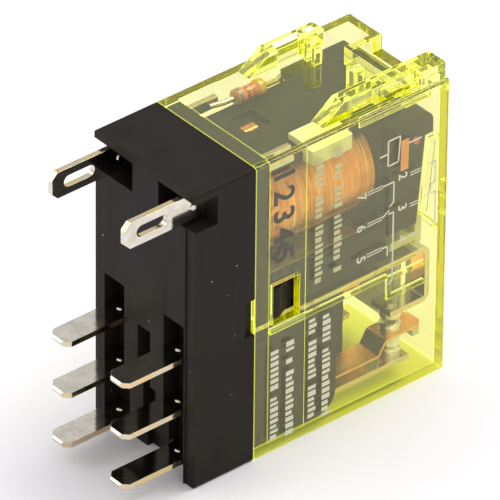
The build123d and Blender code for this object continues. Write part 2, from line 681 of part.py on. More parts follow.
# ================================================================ indicator circuit
RESISTOR_X, RESISTOR_HEIGHT = -3.7, 27.74
RESISTOR_Y = (12.5, 15.55)
CAP_RADIUS, BODY_RADIUS = 0.72, 0.6
CAP_LENGTH, CAP_TAPER = 0.7, 0.35
LEAD_RADIUS = 0.24
LEAD_GAP = 0.02
# The far lead runs along the end wall and dips beside it. The near lead ends beside
# the coil terminal's post. The coil wires rise from the near flange to the posts.
FAR_LEAD = ((-3.7, 16.1, 27.6), (-3.85, 17.1, 27.45), (-4.25, 17.8, 27.35), (-4.4, 18.2, 26.3))
NEAR_LEAD = ((-3.75, 11.5, 27.72), (-4.05, 10.2, 27.72))
COIL_WIRE = ((2.6, 8.45, 25.75), (3.4, 8.45, 26.0), (4.26, 8.7, 27.4))
COIL_WIRE_RADIUS = 0.08
SUPPRESSOR_Y = (12.8, 17.1)
SUPPRESSOR_TOP = 27.6
SUPPRESSOR_BODY_X, SUPPRESSOR_SHELF_X = (4.22, 5.45), (2.8, 4.5)
SUPPRESSOR_START, SHELF_START = 26.2, 27.02
LED_Y, LED_HEIGHT = 24.0, 23.9
LED_RADIUS, LED_RISE = 0.32, 0.25
SMALL_FILLET = 0.2

with BuildPart() as resistor:
    cap, body = RESISTOR_X + CAP_RADIUS, RESISTOR_X + BODY_RADIUS
    near, far = RESISTOR_Y
    with BuildSketch(Plane.XY.offset(level(RESISTOR_HEIGHT))):
        with BuildLine():
            Polyline(
                (RESISTOR_X, near),
                (cap, near),
                (cap, near + CAP_LENGTH),
                (body, near + CAP_LENGTH + CAP_TAPER),
                (body, far - CAP_LENGTH - CAP_TAPER),
                (cap, far - CAP_LENGTH),
                (cap, far),
                (RESISTOR_X, far),
                close=True,
            )
        make_face()
    revolve(axis=Axis((RESISTOR_X, 0, level(RESISTOR_HEIGHT)), (0, 1, 0)))
    fillet(resistor.edges().filter_by(GeomType.CIRCLE).group_by(Axis.Y)[0], 0.25)
    fillet(resistor.edges().filter_by(GeomType.CIRCLE).group_by(Axis.Y)[-1], 0.25)
save(resistor, "resistor")


def wire(points, radius, bend):
    """Round wire along straight runs joined by arcs, points as (x, depth, height)."""
    with BuildLine():
        route = FilletPolyline(*[(x, y, level(z)) for x, y, z in points], radius=bend)
    with BuildSketch(Plane(origin=route @ 0, z_dir=route % 0)) as section:
        Circle(radius)
    sweep(section.sketch, path=route)


with BuildPart() as leads:
    far_start = (RESISTOR_X, RESISTOR_Y[1] + LEAD_GAP, RESISTOR_HEIGHT)
    near_start = (RESISTOR_X, RESISTOR_Y[0] - LEAD_GAP, RESISTOR_HEIGHT)
    wire([far_start, *FAR_LEAD], LEAD_RADIUS, 0.25)
    wire([near_start, *NEAR_LEAD], LEAD_RADIUS, 0.35)
save(leads, "resistor_leads")

with BuildPart() as suppressor:
    block(SUPPRESSOR_BODY_X, SUPPRESSOR_Y, (SUPPRESSOR_START, SUPPRESSOR_TOP))
    block(SUPPRESSOR_SHELF_X, SUPPRESSOR_Y, (SHELF_START, SUPPRESSOR_TOP))
    fillet(suppressor.edges().filter_by(Axis.Z).group_by(Axis.X)[-1], SMALL_FILLET)
save(suppressor, "surge_suppressor")

with BuildPart() as led:
    with BuildSketch(Plane.YZ.offset(HOOD_X)):
        with Locations((LED_Y, level(LED_HEIGHT))):
            Circle(LED_RADIUS)
    extrude(amount=LED_RISE)
save(led, "indicator_led")

with BuildPart() as coil_wires:
    for side in (-1, 1):
        wire([(side * x, y, z) for x, y, z in COIL_WIRE], COIL_WIRE_RADIUS, 0.2)
save(coil_wires, "coil_wire_ends")
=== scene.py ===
import json
import math
import random

import bmesh
import bpy
from mathutils import Matrix, Vector

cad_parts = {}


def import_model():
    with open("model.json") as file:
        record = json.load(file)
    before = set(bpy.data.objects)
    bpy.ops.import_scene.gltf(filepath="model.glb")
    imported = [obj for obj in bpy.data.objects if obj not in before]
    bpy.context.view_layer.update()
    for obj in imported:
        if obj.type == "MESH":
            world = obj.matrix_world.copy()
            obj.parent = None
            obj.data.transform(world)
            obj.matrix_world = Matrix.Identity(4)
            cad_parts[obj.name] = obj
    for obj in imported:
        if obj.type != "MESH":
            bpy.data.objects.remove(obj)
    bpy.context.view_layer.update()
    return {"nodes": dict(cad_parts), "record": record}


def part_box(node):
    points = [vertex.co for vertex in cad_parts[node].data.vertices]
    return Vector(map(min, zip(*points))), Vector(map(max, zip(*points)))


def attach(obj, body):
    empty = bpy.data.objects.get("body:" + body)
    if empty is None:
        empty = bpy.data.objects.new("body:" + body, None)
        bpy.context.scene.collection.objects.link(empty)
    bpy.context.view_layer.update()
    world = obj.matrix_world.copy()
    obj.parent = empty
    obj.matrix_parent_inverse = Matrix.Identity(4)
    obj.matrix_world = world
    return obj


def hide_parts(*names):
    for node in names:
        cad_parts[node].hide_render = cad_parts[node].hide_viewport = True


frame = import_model()

MM = 0.001
NODES = frame["nodes"]


def box_mm(node):
    """Lowest and highest corners of a CAD node, in millimetres."""
    low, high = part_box(node)
    return [v / MM for v in low], [v / MM for v in high]


BASE_LOW, BASE_HIGH = box_mm("base")
COVER_LOW, COVER_HIGH = box_mm("cover")
BOTTOM = BASE_LOW[2]
SIDE_X = COVER_HIGH[0]


def level(height):
    """Z in millimetres of a height above the contact end, on which the relay stands."""
    return BOTTOM + height


# ================================================================ material tools
# How fast edge wear grows as the rounded surface turns away from the flat one.
EDGE_GAIN = 6.0


class Look:
    """A Principled material whose textures are measured in millimetres."""

    def __init__(self, name, colour=(0.5, 0.5, 0.5), **sockets):
        self.material = bpy.data.materials.new(name)
        self.material.use_nodes = True
        self.tree = self.material.node_tree
        self.bsdf = self.tree.nodes["Principled BSDF"]
        self.output = self.tree.nodes["Material Output"]
        self.bsdf.inputs["Base Color"].default_value = (*colour, 1)
        for socket, value in sockets.items():
            self.bsdf.inputs[socket.replace("_", " ")].default_value = value
        self.coords = self.node("ShaderNodeTexCoord")
        self.bumps = None

    def node(self, kind, **settings):
        made = self.tree.nodes.new(kind)
        for key, value in settings.items():
            setattr(made, key, value)
        return made

    def link(self, source, target):
        self.tree.links.new(source, target)

    def space(self, stretch=(1, 1, 1)):
        """Object space in millimetres, with each axis scaled by stretch."""
        mapping = self.node("ShaderNodeMapping")
        mapping.inputs["Scale"].default_value = [s / MM for s in stretch]
        self.link(self.coords.outputs["Object"], mapping.inputs["Vector"])
        return mapping.outputs["Vector"]

    def noise(self, scale, detail=3.0, stretch=(1, 1, 1), roughness=0.55):
        """Fractal noise, as a factor about 0.5. A larger scale is a finer grain."""
        made = self.node("ShaderNodeTexNoise")
        made.inputs["Scale"].default_value = scale
        made.inputs["Detail"].default_value = detail
        made.inputs["Roughness"].default_value = roughness
        self.link(self.space(stretch), made.inputs["Vector"])
        return made.outputs["Fac"]

    def cells(self, scale):
        """Distance to the nearest of many scattered points."""
        made = self.node("ShaderNodeTexVoronoi")
        made.inputs["Scale"].default_value = scale
        self.link(self.space(), made.inputs["Vector"])
        return made.outputs["Distance"]

    def ramp(self, factor, *stops):
        """Colour ramp from (position, colour or grey) stops."""
        made = self.node("ShaderNodeValToRGB")
        elements = made.color_ramp.elements
        while len(elements) < len(stops):
            elements.new(0.5)
        for element, (position, value) in zip(elements, stops):
            element.position = position
            colour = value if isinstance(value, tuple) else (value,) * 3
            element.color = (*colour, 1)
        self.link(factor, made.inputs["Fac"])
        return made.outputs["Color"]

    def mix(self, factor, first, second, blend="MIX"):
        """Two colours, mixed by a factor. Each may be a value or a socket."""
        made = self.node("ShaderNodeMix", data_type="RGBA", blend_type=blend)
        self.put(factor, made.inputs[0])
        self.put(first, made.inputs[6])
        self.put(second, made.inputs[7])
        return made.outputs[2]

    def math(self, operation, first, second=0.0):
        """A sum, product or comparison of two values or sockets."""
        made = self.node("ShaderNodeMath", operation=operation)
        self.put(first, made.inputs[0])
        self.put(second, made.inputs[1])
        return made.outputs[0]

    def put(self, value, socket):
        """Link a socket to another, or set it to a plain value or colour."""
        if isinstance(value, bpy.types.NodeSocket):
            self.link(value, socket)
        elif isinstance(value, tuple):
            socket.default_value = (*value, 1) if len(value) == 3 else value
        else:
            socket.default_value = value

    def axis(self, index):
        """One object coordinate in millimetres."""
        split = self.node("ShaderNodeSeparateXYZ")
        self.link(self.space(), split.inputs[0])
        return split.outputs[index]

    def rounded_normal(self, radius):
        """The surface's direction as if each edge were rounded to a radius."""
        bevel = self.node("ShaderNodeBevel", samples=4)
        bevel.inputs["Radius"].default_value = radius * MM
        return bevel.outputs[0]

    def edge_wear(self, radius):
        """0 on flat faces, growing to 1 or more at convex and concave edges."""
        dot = self.node("ShaderNodeVectorMath", operation="DOT_PRODUCT")
        self.link(self.rounded_normal(radius), dot.inputs[0])
        self.link(self.node("ShaderNodeNewGeometry").outputs["Normal"], dot.inputs[1])
        turned = self.math("SUBTRACT", 1.0, dot.outputs["Value"])
        return self.math("MULTIPLY", turned, EDGE_GAIN)

    def bump(self, height, distance, strength):
        """Relief of a height in millimetres, on top of the bumps made before."""
        made = self.node("ShaderNodeBump")
        made.inputs["Distance"].default_value = distance * MM
        made.inputs["Strength"].default_value = strength
        self.link(height, made.inputs["Height"])
        if self.bumps is not None:
            self.link(self.bumps, made.inputs["Normal"])
        self.bumps = made.outputs["Normal"]
        self.link(self.bumps, self.bsdf.inputs["Normal"])

    def round_edges(self, radius):
        """Soft highlight along edges, as a moulded or tumbled part has."""
        self.bumps = self.rounded_normal(radius)
        self.link(self.bumps, self.bsdf.inputs["Normal"])

    def colour(self, source):
        self.link(source, self.bsdf.inputs["Base Color"])

    def roughness(self, source):
        self.link(source, self.bsdf.inputs["Roughness"])


# ================================================================ materials
BASE_TONE = (0.0125, 0.0096, 0.0068)
INNER_TONE = (0.016, 0.016, 0.011)
DUST = (0.55, 0.54, 0.5)
DUST_COVER = 0.85
MOST_WEAR = 0.3


def shaded(colour, factor):
    """A colour made lighter or darker."""
    return tuple(factor * channel for channel in colour)


def black_plastic(name, tone, sheen_low, sheen_high):
    """Moulded black thermoplastic: fine spark-eroded grain, dust specks and worn edges."""
    look = Look(name, tone, Specular_IOR_Level=0.13)
    look.round_edges(0.07)
    cloud = look.noise(0.35, 4.0)
    grain = look.noise(14.0, 2.0)
    flow = look.noise(0.6, 3.0, stretch=(1, 1, 0.15))
    shade = look.ramp(cloud, (0.3, shaded(tone, 0.8)), (0.7, shaded(tone, 1.25)))
    wear = look.math("MINIMUM", look.edge_wear(0.05), MOST_WEAR)
    worn = look.mix(wear, shade, shaded(tone, 3.2))
    specks = look.ramp(look.cells(0.75), (0.0, 1.0), (0.04, 1.0), (0.06, 0.0))
    dusty_patches = look.ramp(look.noise(0.55, 1.0), (0.53, 0.0), (0.56, 1.0))
    specks = look.math("MULTIPLY", specks, dusty_patches)
    look.colour(look.mix(look.math("MULTIPLY", specks, DUST_COVER), worn, DUST))
    look.roughness(look.ramp(look.mix(0.5, cloud, flow), (0.35, sheen_low), (0.65, sheen_high)))
    look.bump(grain, 0.012, 0.5)
    look.bump(flow, 0.02, 0.25)
    return look.material


CLEAR_ABSORPTION = (0.942, 0.933, 0.02)
CLEAR_DENSITY = 500.0
# Strengths and lime colour of a painted emission on the cover's edges, foot, rails and rim.
PAINTED_EDGE_GLOW, PAINTED_FOOT_GLOW, PAINTED_RAIL_GLOW, PAINTED_RIM_GLOW = 0.95, 0.11, 0.04, 0.55
PAINTED_GLOW_TINT = (0.66, 0.74, 0.01)
SHEEN_TINT = (0.86, 0.92, 0.04)
SHADOW_TINT = (0.95, 0.96, 0.66)
RIM_WIDTH = 0.12
CONTACT_END_WALL = 0.82
LENGTH = BASE_HIGH[2] - BASE_LOW[2]
RAIL_START = LENGTH + 0.03


def clear_plastic():
    """Clear yellow-green polycarbonate. It is pale through one wall and a saturated lime
    where a wall is seen along its length. Edges, foot, rails and rim have a faint painted
    lime emission, which stands in for the light that tinted plastic gathers and lets out."""
    look = Look(
        "clear_cover",
        (1.0, 1.0, 0.97),
        Transmission_Weight=1.0,
        IOR=1.57,
        Roughness=0.015,
        Sheen_Weight=0.12,
        Sheen_Roughness=0.6,
        Sheen_Tint=(*SHEEN_TINT, 1),
    )
    ripple = look.noise(0.18, 2.0)
    look.bump(ripple, 0.05, 0.25)
    scuffs = look.noise(0.8, 4.0, stretch=(1, 4, 1))
    look.roughness(look.ramp(scuffs, (0.55, 0.012), (0.8, 0.05)))
    height = look.axis(2)
    # Painted light: lime emission on edges, on the foot by the contact end, on the rails and on the rim
    # by the base.
    edge = look.math("MINIMUM", look.edge_wear(0.1), 1.0)
    foot = look.math("LESS_THAN", height, level(CONTACT_END_WALL))
    rails = look.math("GREATER_THAN", height, level(RAIL_START))
    rim = look.math("LESS_THAN", look.axis(1), COVER_LOW[1] + RIM_WIDTH)
    painted_glow = look.math("MULTIPLY", edge, PAINTED_EDGE_GLOW)
    for place, strength in ((foot, PAINTED_FOOT_GLOW), (rails, PAINTED_RAIL_GLOW), (rim, PAINTED_RIM_GLOW)):
        painted_glow = look.math("ADD", painted_glow, look.math("MULTIPLY", place, strength))
    look.bsdf.inputs["Emission Color"].default_value = (*PAINTED_GLOW_TINT, 1)
    look.link(painted_glow, look.bsdf.inputs["Emission Strength"])
    # A lamp's light passes straight through the cover, tinted, to what is inside.
    ray = look.node("ShaderNodeLightPath")
    shadow = look.node("ShaderNodeBsdfTransparent")
    shadow.inputs["Color"].default_value = (*SHADOW_TINT, 1)
    mixed = look.node("ShaderNodeMixShader")
    look.link(ray.outputs["Is Shadow Ray"], mixed.inputs[0])
    look.link(look.bsdf.outputs[0], mixed.inputs[1])
    look.link(shadow.outputs[0], mixed.inputs[2])
    look.link(mixed.outputs[0], look.output.inputs["Surface"])
    body = look.node("ShaderNodeVolumeAbsorption")
    body.inputs["Color"].default_value = (*CLEAR_ABSORPTION, 1)
    body.inputs["Density"].default_value = CLEAR_DENSITY
    look.link(body.outputs[0], look.output.inputs["Volume"])
    return look.material


BRASS = (0.74, 0.54, 0.16)


def tin_plate(name, sheared_axis):
    """Bright tin over brass: rolled streaks along the blade, small dents, and the brass
    showing in patches on the sheared faces, which look along sheared_axis."""
    look = Look(name, (0.72, 0.7, 0.64), Metallic=1.0, Roughness=0.2)
    look.round_edges(0.05)
    streak = look.noise(6.0, 4.0, stretch=(1, 0.08, 1))
    cloud = look.noise(0.9, 4.0)
    mottle = look.mix(0.4, cloud, look.noise(3.2, 5.0))
    tin = look.ramp(mottle, (0.34, (0.56, 0.52, 0.42)), (0.66, (0.77, 0.74, 0.65)))
    normal = look.node("ShaderNodeSeparateXYZ")
    look.link(look.node("ShaderNodeNewGeometry").outputs["Normal"], normal.inputs[0])
    facing = look.math("ABSOLUTE", normal.outputs[sheared_axis])
    sheared = look.math("MULTIPLY", look.math("GREATER_THAN", facing, 0.7), 0.75)
    patch = look.ramp(look.noise(0.9, 3.0), (0.38, 0.15), (0.6, 1.0))
    look.colour(look.mix(look.math("MULTIPLY", sheared, patch), tin, BRASS))
    look.roughness(look.ramp(look.mix(0.6, streak, cloud), (0.3, 0.07), (0.75, 0.2)))
    look.bump(streak, 0.003, 0.4)
    look.bump(look.noise(1.2, 2.0), 0.02, 0.25)
    return look.material


def silver_contact():
    """Turned silver alloy with faint rings and tarnish."""
    look = Look("contact_silver", (0.9, 0.89, 0.85), Metallic=1.0, Roughness=0.22)
    tarnish = look.noise(1.6, 4.0)
    look.colour(look.ramp(tarnish, (0.35, (0.70, 0.66, 0.56)), (0.65, (0.93, 0.92, 0.88))))
    look.roughness(look.ramp(tarnish, (0.3, 0.32), (0.7, 0.15)))
    look.bump(look.noise(9.0, 2.0, stretch=(1, 1, 4)), 0.01, 0.4)
    return look.material


def bronze_leaf():
    """Phosphor bronze strip, rolled along its length."""
    look = Look("bronze_spring", (0.85, 0.42, 0.15), Metallic=1.0, Roughness=0.28)
    rolled = look.noise(16.0, 3.0, stretch=(1, 0.05, 1))
    heat = look.noise(0.5, 3.0)
    look.colour(look.ramp(heat, (0.3, (0.97, 0.42, 0.09)), (0.7, (1.0, 0.58, 0.20))))
    look.roughness(look.ramp(rolled, (0.3, 0.24), (0.7, 0.34)))
    look.bump(rolled, 0.003, 0.25)
    return look.material


def soft_iron():
    """Zinc-plated soft iron with a spangled, slightly dull surface."""
    look = Look("soft_iron", (0.5, 0.5, 0.5), Metallic=1.0, Roughness=0.35)
    look.round_edges(0.08)
    spangle = look.cells(1.4)
    cloud = look.noise(1.1, 4.0)
    zinc = look.mix(0.4, cloud, spangle)
    look.colour(look.ramp(zinc, (0.2, (0.36, 0.36, 0.35)), (0.8, (0.62, 0.62, 0.6))))
    look.roughness(look.ramp(cloud, (0.3, 0.28), (0.7, 0.5)))
    look.bump(look.noise(5.0, 3.0), 0.012, 0.4)
    return look.material


def enamelled_copper():
    """Enamelled magnet wire: amber varnish over copper; its colour changes from turn to turn, between
    painted crevice shade and painted highlights.
    """
    look = Look("copper_winding", (0.8, 0.3, 0.08), Metallic=0.85, Roughness=0.3)
    turns = look.noise(1.6, 5.0, stretch=(0.07, 3.8, 0.07), roughness=0.75)
    cloud = look.noise(0.28, 3.0)
    # The darkest stop is painted shade in the crevices between turns, the palest a painted highlight.
    base = look.ramp(
        turns,
        (0.32, (0.36, 0.11, 0.02)),
        (0.43, (0.92, 0.32, 0.06)),
        (0.56, (1.0, 0.46, 0.10)),
        (0.66, (1.0, 0.80, 0.42)),
    )
    aged = look.ramp(cloud, (0.35, (0.62, 0.45, 0.32)), (0.6, (1.0, 1.0, 1.0)))
    look.colour(look.mix(0.7, base, aged, "MULTIPLY"))
    look.roughness(look.ramp(turns, (0.3, 0.4), (0.7, 0.16)))
    look.bsdf.inputs["Coat Weight"].default_value = 0.6
    look.bsdf.inputs["Coat Roughness"].default_value = 0.12
    return look.material


def card_plastic():
    """Natural, slightly translucent moulded card."""
    look = Look("card_plastic", (0.74, 0.72, 0.5), Roughness=0.4, Subsurface_Weight=0.25)
    look.bsdf.inputs["Subsurface Radius"].default_value = (0.8 * MM, 0.8 * MM, 0.4 * MM)
    look.round_edges(0.06)
    cloud = look.noise(0.7, 3.0)
    look.colour(look.ramp(cloud, (0.3, (0.66, 0.63, 0.40)), (0.7, (0.82, 0.80, 0.58))))
    look.roughness(look.ramp(cloud, (0.3, 0.36), (0.7, 0.5)))
    look.bump(look.noise(11.0, 2.0), 0.01, 0.4)
    return look.material


def cream_block():
    """Potted cream component body."""
    look = Look("cream_block", (0.84, 0.82, 0.68), Roughness=0.38)
    look.round_edges(0.06)
    cloud = look.noise(0.8, 3.0)
    look.colour(look.ramp(cloud, (0.3, (0.78, 0.75, 0.60)), (0.7, (0.92, 0.90, 0.78))))
    look.bump(look.noise(7.0, 3.0), 0.015, 0.4)
    return look.material


LACQUER = (0.62, 0.22, 0.05)
# Places along the resistor's length, as parts of it: each band's centre, and half its
# width at the top and at the foot of its soft edges.
BANDS = (
    (0.12, (0.16, 0.14, 0.21)),
    (0.38, (0.46, 0.045, 0.012)),
    (0.58, (0.60, 0.09, 0.012)),
    (0.84, (0.62, 0.40, 0.10)),
)
BAND_INNER, BAND_OUTER = 0.0532, 0.056


def resistor_body():
    """Lacquered resistor with four colour bands along Y."""
    low, high = box_mm("resistor")
    length = high[1] - low[1]
    look = Look("resistor_ceramic", LACQUER, Roughness=0.24)
    along = look.math("DIVIDE", look.math("SUBTRACT", look.axis(1), low[1]), length)
    stops = [(0.0, LACQUER)]
    for centre, shade in BANDS:
        stops += [(centre - BAND_OUTER, LACQUER), (centre - BAND_INNER, shade)]
        stops += [(centre + BAND_INNER, shade), (centre + BAND_OUTER, LACQUER)]
    paint = look.ramp(along, *stops)
    cloud = look.noise(1.2, 3.0)
    look.colour(look.mix(0.35, paint, look.ramp(cloud, (0.3, 0.55), (0.7, 1.0)), "MULTIPLY"))
    look.bump(look.noise(3.0, 3.0), 0.03, 0.5)
    look.bsdf.inputs["Coat Weight"].default_value = 0.7
    return look.material


def red_lens():
    """Red moulded lens of the indicator."""
    look = Look("red_led", (0.78, 0.06, 0.04), Roughness=0.12, Coat_Weight=0.5)
    cloud = look.noise(2.0, 2.0)
    look.colour(look.ramp(cloud, (0.3, (0.6, 0.03, 0.02)), (0.7, (0.9, 0.12, 0.08))))
    look.roughness(look.ramp(cloud, (0.3, 0.08), (0.7, 0.2)))
    return look.material


def ink(name, colour):
    """Pad-printed ink: thin, slightly uneven and matt."""
    look = Look(name, colour, Roughness=0.5)
    cover = look.noise(9.0, 4.0)
    look.colour(look.ramp(cover, (0.25, shaded(colour, 0.72)), (0.55, colour)))
    look.roughness(look.ramp(cover, (0.3, 0.45), (0.7, 0.65)))
    return look.material


MATERIALS = {
    "base_plastic": black_plastic("base_plastic", BASE_TONE, 0.42, 0.58),
    "bobbin_plastic": black_plastic("bobbin_plastic", INNER_TONE, 0.38, 0.55),
    "clear_cover": clear_plastic(),
    "tinned_blade": tin_plate("tinned_blade", 0),
    "contact_silver": silver_contact(),
    "bronze_spring": bronze_leaf(),
    "soft_iron": soft_iron(),
    "copper_winding": enamelled_copper(),
    "card_plastic": card_plastic(),
    "cream_block": cream_block(),
    "resistor_ceramic": resistor_body(),
    "red_led": red_lens(),
}
WHITE_INK = ink("white_ink", (0.88, 0.87, 0.74))
PALE_INK = ink("pale_ink", (0.72, 0.70, 0.42))
BLACK_INK = ink("black_ink", (0.012, 0.011, 0.010))
ORANGE_INK = ink("orange_ink", (0.95, 0.49, 0.11))

COIL_BLADE = tin_plate("tinned_coil_blade", 2)

for part in frame["record"]["subparts"]:
    node = NODES[part["node"]]
    material = MATERIALS[part["material_slot"]]
    if part["node"].startswith("coil_terminal"):
        material = COIL_BLADE
    for index in range(len(node.data.materials)):
        node.data.materials[index] = material

# ================================================================ mesh tools


def place_in_scene(name, data):
    """A new object that holds a mesh, curve, lamp or camera."""
    holder = bpy.data.objects.new(name, data)
    bpy.context.scene.collection.objects.link(holder)
    return holder


def add_piece(name, mesh, body, material):
    """A piece that rides on a body, in its own material."""
    mesh.materials.append(material)
    piece = place_in_scene(name, mesh)
    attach(piece, body)
    return piece


def mesh_from(name, bm, smooth=False):
    """A mesh from a bmesh, with its faces turned outwards."""
    bmesh.ops.recalc_face_normals(bm, faces=bm.faces)
    mesh = bpy.data.meshes.new(name)
    bm.to_mesh(mesh)
    bm.free()
    for polygon in mesh.polygons:
        polygon.use_smooth = smooth
    return mesh


# ================================================================ coil winding
WIRE_PITCH = 0.125
COIL_SEGMENTS = 120
# Rings of vertices that draw one turn's round back, and how far it stands up.
TURN_RINGS = 4
TURN_RISE = 0.04
TURN_FOOT = 0.045
# A turn may lie a little lower than its neighbours.
TURN_LIFTS = (0.0, 0.0, -0.015, -0.035)
# How far a turn wanders inwards round the coil, and how far it leans along it.
WANDER = 0.012
LEAN, LEAN_TWIST = 0.03, 0.4
# The layer's two ends: a step down, and gaps to the faces of the core below it.
SHOULDER = 0.06
END_GAP, LAST_GAP = 0.05, 0.02
CORE_DEPTH = 1.0


def winding_profile(low_y, high_y, outer, rng):
    """Points (depth, radius) of the outer layer, from one end of the core to the other."""
    inner = outer - CORE_DEPTH
    start = low_y + END_GAP
    turns = int((high_y - low_y - 2 * END_GAP) / WIRE_PITCH)
    rings = [(low_y, inner), (start, outer - SHOULDER)]
    for turn in range(turns):
        lift = rng.choice(TURN_LIFTS)
        for step in range(TURN_RINGS):
            part = (step + 0.5) / TURN_RINGS
            radius = outer - TURN_FOOT + TURN_RISE * math.sin(math.pi * part) + lift
            rings.append((start + (turn + part) * WIRE_PITCH, radius))
    return rings + [(high_y - LAST_GAP, outer - SHOULDER), (high_y, inner)]


def winding():
    """The coil's outer layer as closely laid turns, over a closed core of the CAD ring's size."""
    low, high = box_mm("coil_winding")
    centre_z = (low[2] + high[2]) / 2
    outer = (high[0] - low[0]) / 2
    rng = random.Random(7)
    rings = winding_profile(low[1], high[1], outer, rng)
    waves = [(rng.uniform(0, math.tau), rng.choice((2, 3, 5))) for _ in rings]
    bm = bmesh.new()
    loops = []
    for index, (y, radius) in enumerate(rings):
        at_end = index in (0, len(rings) - 1)
        phase, count = waves[index // TURN_RINGS]
        loop = []
        for segment in range(COIL_SEGMENTS):
            angle = math.tau * segment / COIL_SEGMENTS
            wander = 0.0 if at_end else WANDER * math.sin(count * angle + phase)
            lean = 0.0 if at_end else LEAN * math.sin(angle + LEAN_TWIST * y)
            r = radius + min(wander, 0.0)
            x, z = r * math.cos(angle), centre_z + r * math.sin(angle)
            loop.append(bm.verts.new((x * MM, (y + lean) * MM, z * MM)))
        loops.append(loop)
    loops.append(loops[0])
    for first, second in zip(loops, loops[1:]):
        for segment in range(COIL_SEGMENTS):
            after = (segment + 1) % COIL_SEGMENTS
            bm.faces.new((first[segment], first[after], second[after], second[segment]))
    mesh = mesh_from("winding_turns", bm, smooth=True)
    slot = "copper_winding"
    piece = add_piece("winding_turns", mesh, "housing", MATERIALS[slot])
    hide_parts("coil_winding")


winding()

# ================================================================ printing on the +X face
# The print lies just inside the outer face, so that nothing stands out of the CAD box.
INK_DEPTH = 0.006
PRINT_X = SIDE_X - 0.012
LINE, THIN_LINE = 0.16, 0.1


def print_mesh(name, shapes, material):
    """Thin printed shapes on the +X face, each an outline of (depth, height) points."""
    bm = bmesh.new()
    for outline in shapes:
        back, front = [
            [bm.verts.new((x * MM, y * MM, level(z) * MM)) for y, z in outline]
            for x in (PRINT_X, PRINT_X + INK_DEPTH)
        ]
        bm.faces.new(back)
        bm.faces.new(front)
        for corner in range(len(outline)):
            bm.faces.new((back[corner - 1], back[corner], front[corner], front[corner - 1]))
    add_piece(name, mesh_from(name, bm), "housing", material)


def bar(y0, z0, y1, z1, width):
    """Outline of a straight printed line."""
    along = Vector((y1 - y0, z1 - z0)).normalized()
    side = Vector((-along.y, along.x)) * width / 2
    start, end = Vector((y0, z0)), Vector((y1, z1))
    return [tuple(corner) for corner in (start + side, start - side, end - side, end + side)]


def path_bars(*points):
    """Outlines of the printed lines that join some points."""
    return [bar(*a, *b, LINE) for a, b in zip(points, points[1:])]


def rectangle(y0, z0, y1, z1):
    """Outline of a printed block."""
    return [(y0, z0), (y1, z0), (y1, z1), (y0, z1)]


TERMINAL_ROWS = (21.35, 18.25, 15.2)
LEFT_COLUMN, RIGHT_COLUMN = 17.7, 22.1


def wiring_diagram():
    """Generic two-pole changeover symbol: coil, indicator, three terminals a side."""
    coil = ((20.5, 25.6), (21.8, 25.6), (21.6, 23.15), (20.5, 23.15))
    shapes = path_bars(*coil, coil[0])
    shapes += [bar(19.6, 24.36, 20.5, 24.36, LINE), bar(22.75, 24.52, 24.1, 24.52, LINE)]
    for row, height in enumerate(TERMINAL_ROWS):
        for offset in (-0.13, 0.13):
            shapes.append(bar(18.35, height + offset, 20.0, height + offset, THIN_LINE))
            shapes.append(bar(22.95, height + offset, 24.1, height + offset, THIN_LINE))
    seven, six, five = TERMINAL_ROWS
    shapes += path_bars((20.0, seven), (21.18, seven), (21.18, seven - 2.0), (20.75, seven - 2.3))
    shapes += path_bars((20.0, six), (20.5, six + 0.35), (20.75, seven - 2.65))
    shapes += path_bars((20.6, six + 0.1), (21.18, six + 0.1), (21.18, five - 3.6), (20.75, five - 3.9))
    shapes += path_bars((20.0, five), (20.6, five), (20.6, five - 1.0))
    two, three = 21.45, 18.3
    shapes += path_bars((25.0, two), (25.65, two + 0.1), (25.65, 19.45), (25.2, 19.45))
    shapes += path_bars((24.42, three), (25.2, 18.85), (25.2, 19.45))
    shapes += path_bars((25.2, 18.5), (25.72, 18.45), (25.72, 15.4), (25.2, 15.2))
    return shapes


INDICATOR = [(21.9, 25.05), (22.75, 25.05), (22.7, 22.0), (21.85, 22.05)]
BLOCK_GAP, WORD_GAP = 0.18, 0.75
WORD_END_CHANCE = 0.2


def greeked_row(y, top, bottom, size, seed):
    """A line of placeholder blocks, the size of small print, running down the face."""
    rng = random.Random(seed)
    shapes, z = [], top
    while z > bottom:
        width = rng.uniform(0.30, 0.52)
        tall = size * rng.choice((1.0, 1.0, 0.8))
        shapes.append(rectangle(y - size / 2, z - width, y - size / 2 + tall, z))
        z -= width + (WORD_GAP if rng.random() < WORD_END_CHANCE else BLOCK_GAP)
    return shapes


# Each row's depth, top, bottom, block size and seed. The first two are in pale ink.
PALE_ROWS = 2
ROWS = (
    (13.2, 27.0, 14.6, 0.85, 11),
    (15.2, 27.4, 15.4, 0.85, 12),
    (14.15, 11.3, 1.4, 0.85, 13),
    (12.65, 11.5, 1.7, 0.85, 14),
    (10.25, 10.4, 1.3, 0.85, 15),
    (8.6, 10.1, 1.3, 0.85, 16),
)


def digit(text, y, height, size, weight, material, name):
    """A printed numeral lying on its side: it reads downwards, with its top towards +Y."""
    curve = bpy.data.curves.new(name, "FONT")
    curve.body = text
    curve.size = size * MM
    curve.extrude = INK_DEPTH / 2 * MM
    curve.offset = weight * MM
    curve.align_x, curve.align_y = "CENTER", "CENTER"
    holder = place_in_scene(name, curve)
    mesh = bpy.data.meshes.new_from_object(holder)
    bpy.data.objects.remove(holder)
    read, up, out = Vector((0, 0, -1)), Vector((0, 1, 0)), Vector((1, 0, 0))
    turn = Matrix((read, up, out)).transposed().to_4x4()
    place = Matrix.Translation(((PRINT_X + INK_DEPTH / 2) * MM, y * MM, level(height) * MM))
    mesh.transform(place @ turn)
    mesh.materials.clear()
    add_piece(name, mesh, "housing", material)


